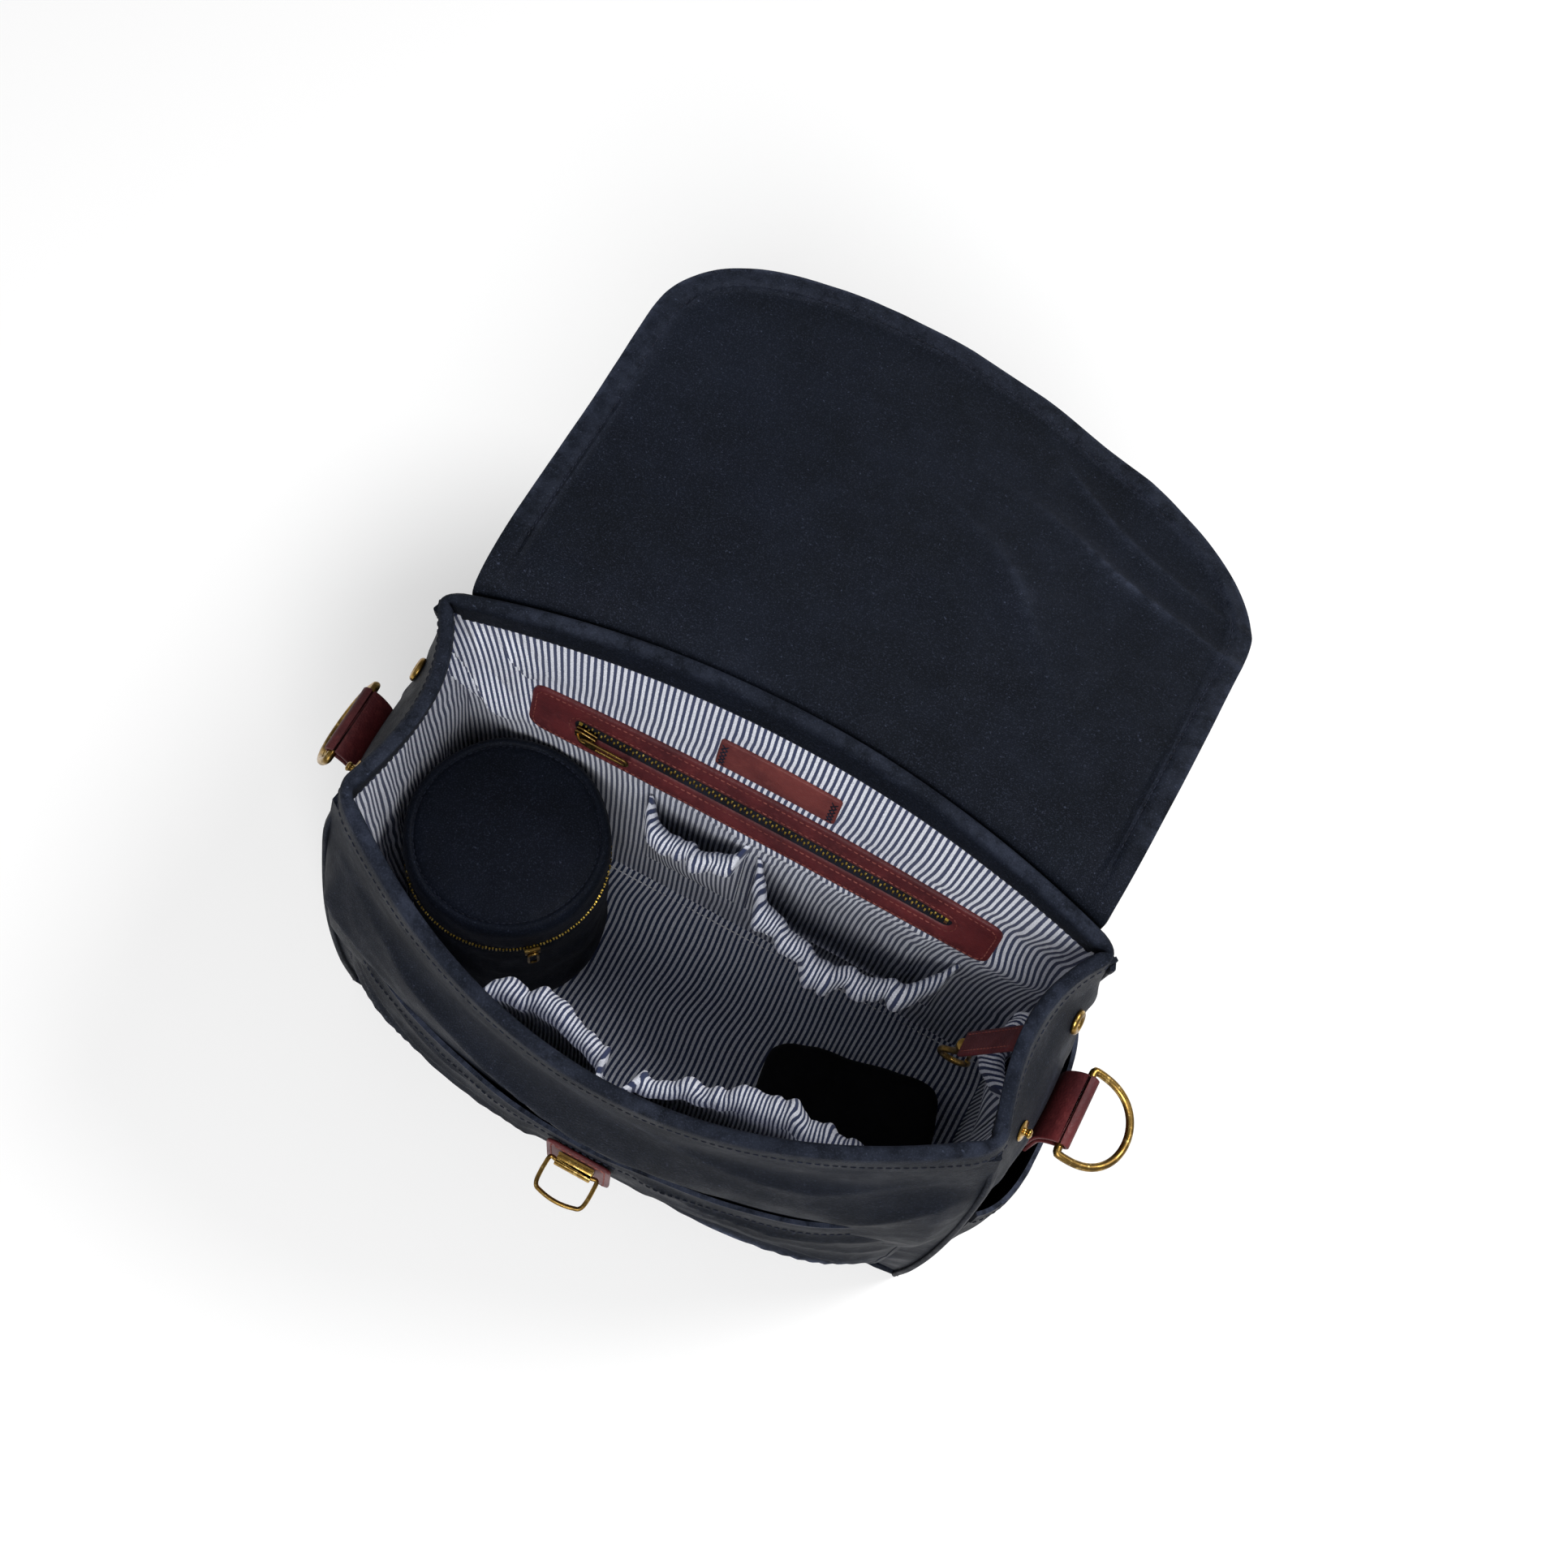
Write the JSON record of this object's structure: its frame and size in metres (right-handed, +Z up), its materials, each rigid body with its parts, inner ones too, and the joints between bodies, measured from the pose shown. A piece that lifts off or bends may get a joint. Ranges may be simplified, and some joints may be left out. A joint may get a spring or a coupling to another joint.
{
  "type": "messenger bag",
  "caption": "Open-topped canvas messenger bag with a hinged flap, striped lining, elastic pockets, inside zip, D-rings for a strap, a closure loop and loose inner cases.",
  "frame": {"origin": "centre of the flat base, on the surface the bag stands on", "axes": "+Z up, -Y towards the bag's front, +X along its width to the side with the key leash"},
  "size_m": [0.4325, 0.4718, 0.2894],
  "materials": {
    "navy_canvas": "waxed, matt with a soft sheen",
    "ticking_lining": "woven ticking stripe, matt",
    "brown_leather": "smooth, satin",
    "antique_brass": "antiqued, brushed on the high spots",
    "base_board": "matt board",
    "black_cloth": "matt"
  },
  "bodies": {
    "bag": {"outer_front_panel": "navy_canvas", "outer_back_panel": "navy_canvas", "outer_gusset_left": "navy_canvas", "outer_gusset_right": "navy_canvas", "outer_base_panel": "navy_canvas", "base_board": "base_board", "lining_front": "ticking_lining", "lining_back": "ticking_lining", "lining_gusset_left": "ticking_lining", "lining_gusset_right": "ticking_lining", "lining_base": "ticking_lining", "rim_binding": "navy_canvas", "front_pocket": "navy_canvas", "side_pocket_left": "navy_canvas", "side_pocket_right": "navy_canvas", "pocket_back_left": "ticking_lining", "pocket_back_right": "ticking_lining", "pocket_front_left": "ticking_lining", "pocket_front_right": "ticking_lining", "pocket_gusset_right": "ticking_lining", "zip_trim": "brown_leather", "zip_teeth": "antique_brass", "leather_label": "brown_leather", "zip_pocket_bag": "ticking_lining", "dring_tab_left": "brown_leather", "dring_tab_right": "brown_leather", "tab_rivet_right_1": "antique_brass", "tab_rivet_right_2": "antique_brass", "tab_rivet_left_1": "antique_brass", "tab_rivet_left_2": "antique_brass", "snap_socket_right": "antique_brass", "snap_stud_right": "antique_brass", "snap_socket_left": "antique_brass", "snap_stud_left": "antique_brass", "closure_patch": "brown_leather", "closure_bracket": "antique_brass"},
    "flap_rear": {"flap_rear_panel": "navy_canvas"},
    "flap_front": {"flap_front_panel": "navy_canvas", "closure_tab": "brown_leather", "closure_hook": "antique_brass"},
    "dring_right": {"dring_right": "antique_brass"},
    "dring_left": {"dring_left": "antique_brass"},
    "closure_loop": {"closure_loop": "antique_brass"},
    "zip_slider": {"zip_slider": "antique_brass"},
    "zip_puller": {"zip_puller": "antique_brass"},
    "key_strap": {"key_strap": "brown_leather", "key_swivel_eye": "antique_brass"},
    "trigger_hook": {"trigger_hook": "antique_brass"},
    "hook_gate": {"hook_gate": "antique_brass"},
    "case": {"case_body": "navy_canvas", "case_zip": "antique_brass"},
    "case_lid": {"case_lid": "navy_canvas"},
    "case_slider": {"case_slider": "antique_brass"},
    "pouch": {"pouch_body": "black_cloth"}
  },
  "joints": [
    {"name": "flap_hinge", "type": "hinge", "parent": "bag", "child": "flap_rear", "pos_m": [0, 0.091, 0.291], "axis": [-1, 0, 0], "range_deg": [-194, 0]},
    {"name": "flap_fold", "type": "hinge", "parent": "flap_rear", "child": "flap_front", "pos_m": [0, 0.287, 0.24213], "axis": [-1, 0, 0], "range_deg": [-92, 0]},
    {"name": "dring_right_swing", "type": "hinge", "parent": "bag", "child": "dring_right", "pos_m": [0.194, 0.004, 0.213], "axis": [0, 1, 0], "range_deg": [-108, 70]},
    {"name": "dring_left_swing", "type": "hinge", "parent": "bag", "child": "dring_left", "pos_m": [-0.194, 0.004, 0.213], "axis": [0, -1, 0], "range_deg": [-156, 22]},
    {"name": "closure_loop_swing", "type": "hinge", "parent": "bag", "child": "closure_loop", "pos_m": [0, -0.12354, 0.165], "axis": [1, 0, 0], "range_deg": [-75, 80]},
    {"name": "zip_slide", "type": "slide", "parent": "bag", "child": "zip_slider", "axis": [1, 0, 0], "range_m": [0, 0.19]},
    {"name": "zip_puller_flip", "type": "hinge", "parent": "zip_slider", "child": "zip_puller", "pos_m": [-0.0959, 0.05335, 0.203], "axis": [0, 0, -1], "range_deg": [0, 165]},
    {"name": "key_strap_swing", "type": "hinge", "parent": "bag", "child": "key_strap", "pos_m": [0.151, 0.008, 0.26], "axis": [0, -1, 0], "range_deg": [-60, 20]},
    {"name": "hook_swivel", "type": "hinge", "parent": "key_strap", "child": "trigger_hook", "pos_m": [0.13462, 0.008, 0.20959], "axis": [0, 0, 1], "continuous": true},
    {"name": "hook_gate_press", "type": "hinge", "parent": "trigger_hook", "child": "hook_gate", "pos_m": [0.14022, 0.008, 0.19729], "axis": [0, -1, 0], "range_deg": [0, 35], "stiffness_Nm_per_rad": 0.0003},
    {"name": "case_lift", "type": "slide", "parent": "bag", "child": "case", "axis": [0.1705, -0.1555, 0.973], "range_m": [0, 0.2]},
    {"name": "case_lid_open", "type": "hinge", "parent": "case", "child": "case_lid", "pos_m": [-0.06157, -0.00214, 0.1213], "axis": [0.2079, 0.9781, 0], "range_deg": [0, 100]},
    {"name": "case_zip_run", "type": "hinge", "parent": "case", "child": "case_slider", "pos_m": [-0.114, 0.009, 0.12], "axis": [0, 0, 1], "range_deg": [-195, 0]},
    {"name": "pouch_lift", "type": "slide", "parent": "bag", "child": "pouch", "axis": [-0.3201, 0, 0.9474], "range_m": [0, 0.17]}
  ]
}
